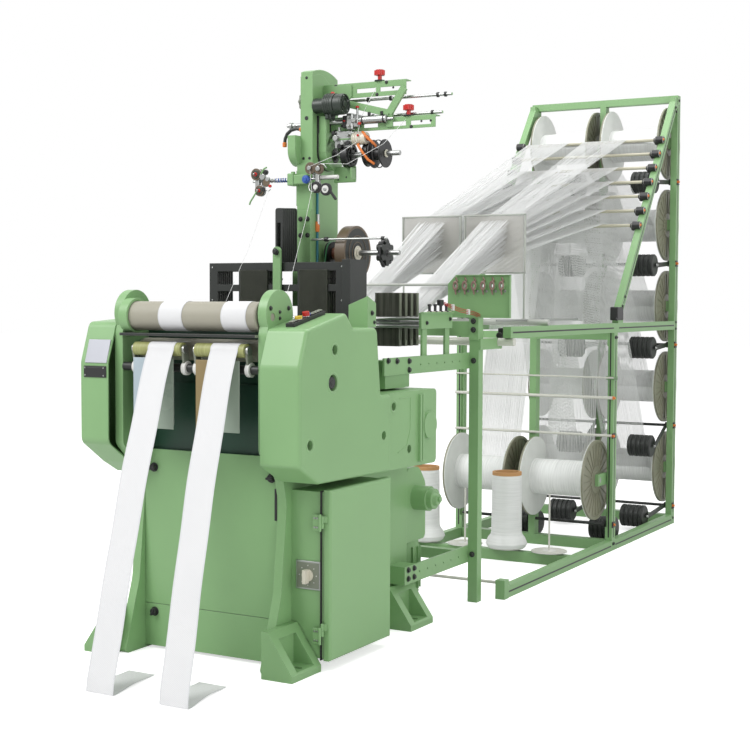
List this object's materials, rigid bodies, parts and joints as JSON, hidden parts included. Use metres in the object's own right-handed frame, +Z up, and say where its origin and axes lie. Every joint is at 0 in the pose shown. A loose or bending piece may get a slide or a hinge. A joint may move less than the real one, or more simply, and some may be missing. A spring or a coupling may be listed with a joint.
{
  "type": "power loom",
  "caption": "Narrow-fabric needle loom: cast frame with ribbon rollers, harness, overhead weft feeder, rear dropper frame and a tall creel of braked warp beams.",
  "frame": {"origin": "on the floor, under the middle of the machine's footprint", "axes": "+Z up, +Y from the ribbon side to the creel, +X to the right of someone facing the ribbons"},
  "size_m": [0.933, 4.0296, 2.144],
  "materials": {
    "green_paint": "light green machine enamel, satin, slightly textured",
    "harness_black": "blackened steel, dull and oiled",
    "roller_grey": "pale grey-beige grip covering with fine lines",
    "roller_olive": "pale olive, matt",
    "steel": "turned bright steel",
    "guide_clear": "translucent whitish guide plate",
    "ribbon_white": "close woven white ribbon",
    "yarn_white": "white filament yarn",
    "black_plastic": "black moulded plastic, satin",
    "cream_plastic": "cream moulded knob",
    "red_plastic": "red moulded plastic",
    "yellow_plastic": "yellow button cap",
    "motor_paint": "green enamel over cast ribs, a little darker",
    "bobbin_paint": "grey-green pressed flange, worn brown on the ribs",
    "weight_black": "black cast discs with a dusty sheen"
  },
  "bodies": {
    "machine_frame": {"brake_weights": "weight_black", "cabinet_body": "green_paint", "control_strip": "black_plastic", "creel_middle": "green_paint", "creel_side_left": "green_paint", "creel_side_right": "green_paint", "drive_motor": "motor_paint", "drop_wires": "steel", "dropper_bars": "harness_black", "eyelet_panel": "green_paint", "feeder_arms": "green_paint", "feeder_motor": "black_plastic", "front_panels": "green_paint", "gear_cover": "green_paint", "guide_plates": "guide_clear", "guide_rods": "steel", "harness_combs": "harness_black", "lease_reeds": "steel", "left_cover": "green_paint", "machine_feet": "green_paint", "rear_frame": "green_paint", "ribbon_left": "ribbon_white", "ribbon_right": "ribbon_white", "roller_brackets": "steel", "side_plate_left": "green_paint", "side_plate_right": "green_paint", "thread_tensioners": "steel", "tie_beams": "green_paint", "tower_column": "green_paint", "warp_yarn": "yarn_white", "yarn_cones": "yarn_white"},
    "takeup_roller": {"takeup_roller": "roller_grey"},
    "cloth_roller": {"cloth_roller": "steel"},
    "delivery_rollers": {"delivery_rollers": "roller_olive"},
    "cabinet_door": {"cabinet_door": "green_paint"},
    "main_switch_knob": {"main_switch_knob": "cream_plastic"},
    "start_button": {"start_button": "yellow_plastic"},
    "stop_button": {"stop_button": "red_plastic"},
    "harness_frames_a": {"harness_frames_a": "harness_black"},
    "harness_frames_b": {"harness_frames_b": "harness_black"},
    "batten": {"batten": "steel"},
    "weft_needle_left": {"weft_needle_left": "steel"},
    "weft_needle_right": {"weft_needle_right": "steel"},
    "main_shaft": {"main_shaft": "steel"},
    "feed_reel": {"feed_reel": "steel"},
    "weft_disc": {"weft_disc": "black_plastic"},
    "arm_knob_upper": {"arm_knob_upper": "red_plastic"},
    "arm_knob_lower": {"arm_knob_lower": "red_plastic"},
    "warp_beam_left_1": {"warp_beam_left_1": "bobbin_paint"},
    "warp_beam_left_2": {"warp_beam_left_2": "bobbin_paint"},
    "warp_beam_left_3": {"warp_beam_left_3": "bobbin_paint"},
    "warp_beam_left_4": {"warp_beam_left_4": "bobbin_paint"},
    "warp_beam_left_5": {"warp_beam_left_5": "bobbin_paint"},
    "warp_beam_left_front": {"warp_beam_left_front": "bobbin_paint"},
    "warp_beam_right_1": {"warp_beam_right_1": "bobbin_paint"},
    "warp_beam_right_2": {"warp_beam_right_2": "bobbin_paint"},
    "warp_beam_right_3": {"warp_beam_right_3": "bobbin_paint"},
    "warp_beam_right_4": {"warp_beam_right_4": "bobbin_paint"},
    "warp_beam_right_5": {"warp_beam_right_5": "bobbin_paint"},
    "warp_beam_right_front": {"warp_beam_right_front": "bobbin_paint"}
  },
  "joints": [
    {"name": "takeup_spin", "type": "hinge", "parent": "machine_frame", "child": "takeup_roller", "pos_m": [-0.0715, -1.589, 1.07], "axis": [1, 0, 0], "continuous": true},
    {"name": "cloth_spin", "type": "hinge", "parent": "machine_frame", "child": "cloth_roller", "pos_m": [-0.0715, -1.53, 0.966], "axis": [1, 0, 0], "continuous": true},
    {"name": "delivery_spin", "type": "hinge", "parent": "machine_frame", "child": "delivery_rollers", "pos_m": [-0.0715, -1.622, 0.969], "axis": [1, 0, 0], "continuous": true},
    {"name": "door_hinge", "type": "hinge", "parent": "machine_frame", "child": "cabinet_door", "pos_m": [0.326, -1.491, 0.128], "axis": [0, 0, -1], "range_deg": [0, 110]},
    {"name": "main_switch_turn", "type": "hinge", "parent": "machine_frame", "child": "main_switch_knob", "pos_m": [0.274, -1.488, 0.289], "axis": [0, -1, 0], "range_deg": [0, 90]},
    {"name": "start_press", "type": "slide", "parent": "machine_frame", "child": "start_button", "axis": [0, 0.2053, -0.9787], "range_m": [0, 0.003], "stiffness_N_per_m": 600},
    {"name": "stop_press", "type": "slide", "parent": "machine_frame", "child": "stop_button", "axis": [0, 0.2053, -0.9787], "range_m": [0, 0.003], "stiffness_N_per_m": 600},
    {"name": "harness_a_lift", "type": "slide", "parent": "machine_frame", "child": "harness_frames_a", "axis": [0, 0, 1], "range_m": [-0.03, 0.03]},
    {"name": "harness_b_lift", "type": "slide", "parent": "machine_frame", "child": "harness_frames_b", "axis": [0, 0, 1], "range_m": [-0.03, 0.03]},
    {"name": "batten_rock", "type": "hinge", "parent": "machine_frame", "child": "batten", "pos_m": [-0.0715, -1.264, 0.56], "axis": [1, 0, 0], "range_deg": [-5, 0]},
    {"name": "needle_left_swing", "type": "hinge", "parent": "machine_frame", "child": "weft_needle_left", "pos_m": [-0.0995, -1.392, 0.985], "axis": [0, 0, 1], "range_deg": [0, 75]},
    {"name": "needle_right_swing", "type": "hinge", "parent": "machine_frame", "child": "weft_needle_right", "pos_m": [0.0115, -1.392, 0.985], "axis": [0, 0, 1], "range_deg": [-75, 0]},
    {"name": "main_shaft_spin", "type": "hinge", "parent": "machine_frame", "child": "main_shaft", "pos_m": [-0.0715, -1.244, 0.33], "axis": [1, 0, 0], "continuous": true},
    {"name": "feed_reel_spin", "type": "hinge", "parent": "machine_frame", "child": "feed_reel", "pos_m": [-0.0715, -0.914, 1.613], "axis": [1, 0, 0], "continuous": true},
    {"name": "weft_disc_spin", "type": "hinge", "parent": "machine_frame", "child": "weft_disc", "pos_m": [-0.0715, -0.914, 1.281], "axis": [1, 0, 0], "continuous": true},
    {"name": "arm_knob_upper_turn", "type": "hinge", "parent": "machine_frame", "child": "arm_knob_upper", "pos_m": [0.201, -0.922, 1.852], "axis": [0, 0, 1], "continuous": true},
    {"name": "arm_knob_lower_turn", "type": "hinge", "parent": "machine_frame", "child": "arm_knob_lower", "pos_m": [0.311, -0.922, 1.73], "axis": [0, 0, 1], "continuous": true},
    {"name": "beam_left_1_spin", "type": "hinge", "parent": "machine_frame", "child": "warp_beam_left_1", "pos_m": [-0.1905, 1.836, 1.91], "axis": [1, 0, 0], "continuous": true},
    {"name": "beam_left_2_spin", "type": "hinge", "parent": "machine_frame", "child": "warp_beam_left_2", "pos_m": [-0.1905, 1.836, 1.504], "axis": [1, 0, 0], "continuous": true},
    {"name": "beam_left_3_spin", "type": "hinge", "parent": "machine_frame", "child": "warp_beam_left_3", "pos_m": [-0.1905, 1.836, 1.098], "axis": [1, 0, 0], "continuous": true},
    {"name": "beam_left_4_spin", "type": "hinge", "parent": "machine_frame", "child": "warp_beam_left_4", "pos_m": [-0.1905, 1.836, 0.692], "axis": [1, 0, 0], "continuous": true},
    {"name": "beam_left_5_spin", "type": "hinge", "parent": "machine_frame", "child": "warp_beam_left_5", "pos_m": [-0.1905, 1.836, 0.286], "axis": [1, 0, 0], "continuous": true},
    {"name": "beam_left_front_spin", "type": "hinge", "parent": "machine_frame", "child": "warp_beam_left_front", "pos_m": [-0.1905, 0.846, 0.326], "axis": [1, 0, 0], "continuous": true},
    {"name": "beam_right_1_spin", "type": "hinge", "parent": "machine_frame", "child": "warp_beam_right_1", "pos_m": [0.1825, 1.836, 1.91], "axis": [1, 0, 0], "continuous": true},
    {"name": "beam_right_2_spin", "type": "hinge", "parent": "machine_frame", "child": "warp_beam_right_2", "pos_m": [0.1825, 1.836, 1.504], "axis": [1, 0, 0], "continuous": true},
    {"name": "beam_right_3_spin", "type": "hinge", "parent": "machine_frame", "child": "warp_beam_right_3", "pos_m": [0.1825, 1.836, 1.098], "axis": [1, 0, 0], "continuous": true},
    {"name": "beam_right_4_spin", "type": "hinge", "parent": "machine_frame", "child": "warp_beam_right_4", "pos_m": [0.1825, 1.836, 0.692], "axis": [1, 0, 0], "continuous": true},
    {"name": "beam_right_5_spin", "type": "hinge", "parent": "machine_frame", "child": "warp_beam_right_5", "pos_m": [0.1825, 1.836, 0.286], "axis": [1, 0, 0], "continuous": true},
    {"name": "beam_right_front_spin", "type": "hinge", "parent": "machine_frame", "child": "warp_beam_right_front", "pos_m": [0.1825, 0.846, 0.326], "axis": [1, 0, 0], "continuous": true}
  ],
  "couplings": [
    {"joint": "cloth_spin", "follows": "takeup_spin", "ratio": -1.5517},
    {"joint": "delivery_spin", "follows": "takeup_spin", "ratio": 2.1429},
    {"joint": "harness_b_lift", "follows": "harness_a_lift", "ratio": -1},
    {"joint": "needle_right_swing", "follows": "needle_left_swing", "ratio": -1},
    {"joint": "batten_rock", "follows": "needle_left_swing", "ratio": -0.0666}
  ]
}
